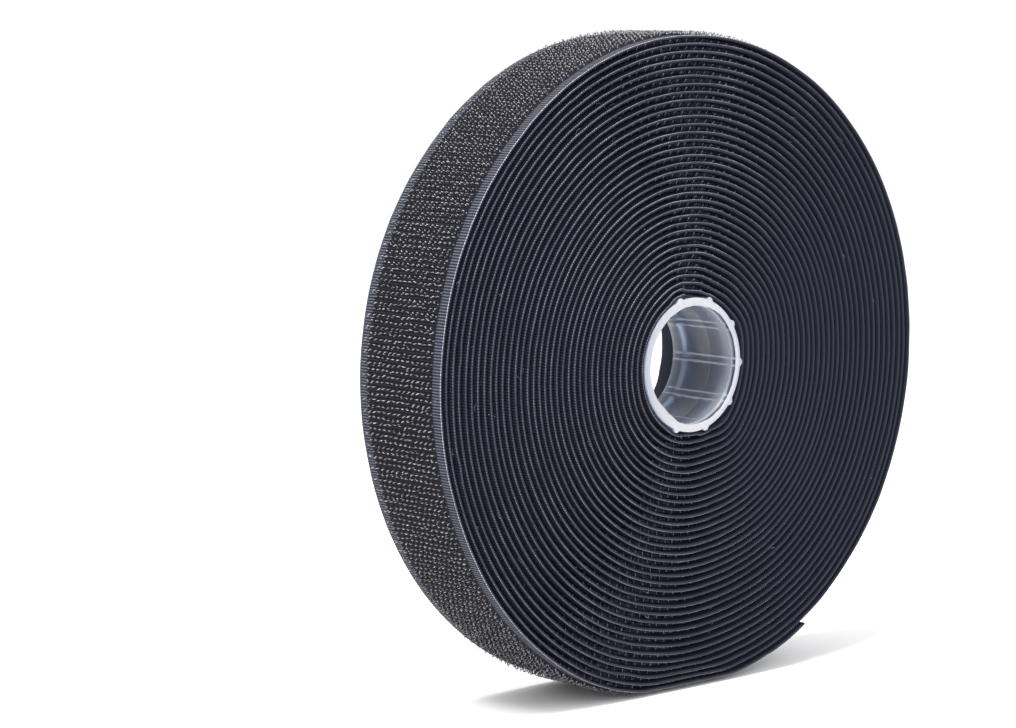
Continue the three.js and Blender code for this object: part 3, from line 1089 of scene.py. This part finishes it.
class AddHooks(TapeRollOperator, bpy.types.Operator):
    """Adds the hooks on the rim, those between the turns, and loose filaments"""

    bl_idname = "mesh.tape_roll_add_hooks"
    bl_label = "Hooks"

    def execute(self, context):
        sizes, colours = self.settings(context)
        winding = Winding(sizes)
        nylon = hook_monofilament(colours)
        finish_piece(rim_hooks(winding, sizes), nylon)
        for name, back in GAP_PIECES.items():
            finish_piece(gap_hooks(name, winding, sizes, back), nylon)
        finish_piece(stray_filaments(winding, sizes), nylon)
        finish_piece(inner_hook_mass(winding, sizes), shaded_monofilament(colours))
        return {"FINISHED"}


class AddTape(TapeRollOperator, bpy.types.Operator):
    """Adds the woven ground of the tape"""

    bl_idname = "mesh.tape_roll_add_tape"
    bl_label = "Tape"

    def execute(self, context):
        sizes, colours = self.settings(context)
        winding = Winding(sizes)
        weave = woven_nylon(colours, sizes)
        ground = finish_piece(tape_ground(winding, sizes), weave)
        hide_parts(TAPE_NODE)
        return {"FINISHED"}


def camera_axes():
    """Right, up and forward directions of the camera from its azimuth and elevation."""
    azimuth, elevation = np.radians([CAMERA_AZIMUTH, CAMERA_ELEVATION])
    right = np.array([np.cos(azimuth), np.sin(azimuth), 0])
    level = np.array([-np.sin(azimuth), np.cos(azimuth), 0])
    forward = level * np.cos(elevation) - [0, 0, np.sin(elevation)]
    return right, np.cross(right, forward), forward


def turn_to(item, right, up, forward):
    """Turns a camera or a light to look forward."""
    item.matrix_world = Matrix(np.column_stack([right, up, -forward])).to_4x4()


def add_camera(face):
    """Camera at the photograph's place: the roll's front centre stands right of the middle of the image."""
    right, up, forward = camera_axes()
    data = bpy.data.cameras.new("camera")
    data.sensor_width = SENSOR_WIDTH
    data.lens = SENSOR_WIDTH * FOCAL_PIXELS / IMAGE_WIDTH
    data.clip_start, data.clip_end = CAMERA_CLIP
    camera = bpy.data.objects.new("camera", data)
    bpy.context.scene.collection.objects.link(camera)
    turn_to(camera, right, up, forward)
    camera.location = face - CAMERA_SIDE * right + CAMERA_RISE * up - CAMERA_DISTANCE * forward
    bpy.context.scene.camera = camera


def add_light(name, face, way, distance, size, power, code):
    """Square soft light at a way from the face, given along the camera's right, up and back."""
    right, up, forward = camera_axes()
    back = way @ np.stack([right, up, -forward])
    back /= np.linalg.norm(back)
    data = bpy.data.lights.new(name, "AREA")
    data.size, data.energy, data.color = size, power, linear(code)[:3]
    light = bpy.data.objects.new(name, data)
    bpy.context.scene.collection.objects.link(light)
    side = np.cross([0, 0, 1], back)
    side /= np.linalg.norm(side)
    turn_to(light, side, np.cross(back, side), -back)
    light.location = face + distance * back


def add_floor(colours):
    """Flat round floor far wider than any view: a ring of faces and a fan round its middle."""
    turn = 2 * np.pi * np.arange(FLOOR_SIDES) / FLOOR_SIDES
    radius = np.array(FLOOR_RINGS)[:, None] * FLOOR_RADIUS
    points = np.stack([radius * np.cos(turn), radius * np.sin(turn), np.zeros((2, FLOOR_SIDES))], axis=-1)
    middle = FLOOR_SIDES + np.arange(FLOOR_SIDES)
    fan = np.stack([np.full(FLOOR_SIDES, 2 * FLOOR_SIDES), middle, np.roll(middle, -1)], axis=-1)
    quads = grid_quads(2, FLOOR_SIDES, False, True)
    floor = add_mesh("floor", np.concatenate([points.reshape(-1, 3), [[0, 0, 0]]]), quads, fan)
    floor.data.materials.append(backdrop_paper(colours))


def add_sky():
    """Even white surroundings, as in a light tent."""
    world = bpy.data.worlds.new("light_tent")
    world.use_nodes = True
    sky = world.node_tree.nodes["Background"]
    sky.inputs["Color"].default_value = linear("ffffff")
    sky.inputs["Strength"].default_value = SKY_STRENGTH
    bpy.context.scene.world = world


class AddStage(TapeRollOperator, bpy.types.Operator):
    """Adds the pale floor, the soft lights and the camera"""

    bl_idname = "mesh.tape_roll_add_stage"
    bl_label = "Stage"

    def execute(self, context):
        sizes, colours = self.settings(context)
        face = np.array([sizes.axis_x, front_corner.y, sizes.axis_height])
        add_camera(face)
        for light in LIGHTS:
            add_light(light[0], face, np.array(light[1], float), *light[2:])
        add_floor(colours)
        add_sky()
        context.scene.view_settings.view_transform = "Standard"
        return {"FINISHED"}


class TapeRollPanel(bpy.types.Panel):
    """Buttons for the pieces of the roll, its sizes and its colours"""

    bl_idname = "VIEW3D_PT_tape_roll"
    bl_label = "Tape Roll"
    bl_space_type = "VIEW_3D"
    bl_region_type = "UI"
    bl_category = "Tape Roll"

    def draw(self, context):
        for operator in OPERATORS:
            self.layout.operator(operator.bl_idname)
        for group in (context.scene.tape_roll_sizes, context.scene.tape_roll_colours):
            box = self.layout.box()
            for name in group.__annotations__:
                box.prop(group, name)


OPERATORS = (AddCore, AddSelvedgeLoops, AddHooks, AddTape, AddStage)
CLASSES = (TapeRollSizes, TapeRollColours, *OPERATORS, TapeRollPanel)


def register():
    for item in CLASSES:
        bpy.utils.register_class(item)
    bpy.types.Scene.tape_roll_sizes = bpy.props.PointerProperty(type=TapeRollSizes)
    bpy.types.Scene.tape_roll_colours = bpy.props.PointerProperty(type=TapeRollColours)


def unregister():
    del bpy.types.Scene.tape_roll_colours
    del bpy.types.Scene.tape_roll_sizes
    for item in reversed(CLASSES):
        bpy.utils.unregister_class(item)


def main():
    """Adds every piece and the stage."""
    register()
    bpy.ops.mesh.tape_roll_add_core()
    bpy.ops.mesh.tape_roll_add_selvedge_loops()
    bpy.ops.mesh.tape_roll_add_hooks()
    bpy.ops.mesh.tape_roll_add_tape()
    bpy.ops.mesh.tape_roll_add_stage()


if __name__ == "__main__":
    main()
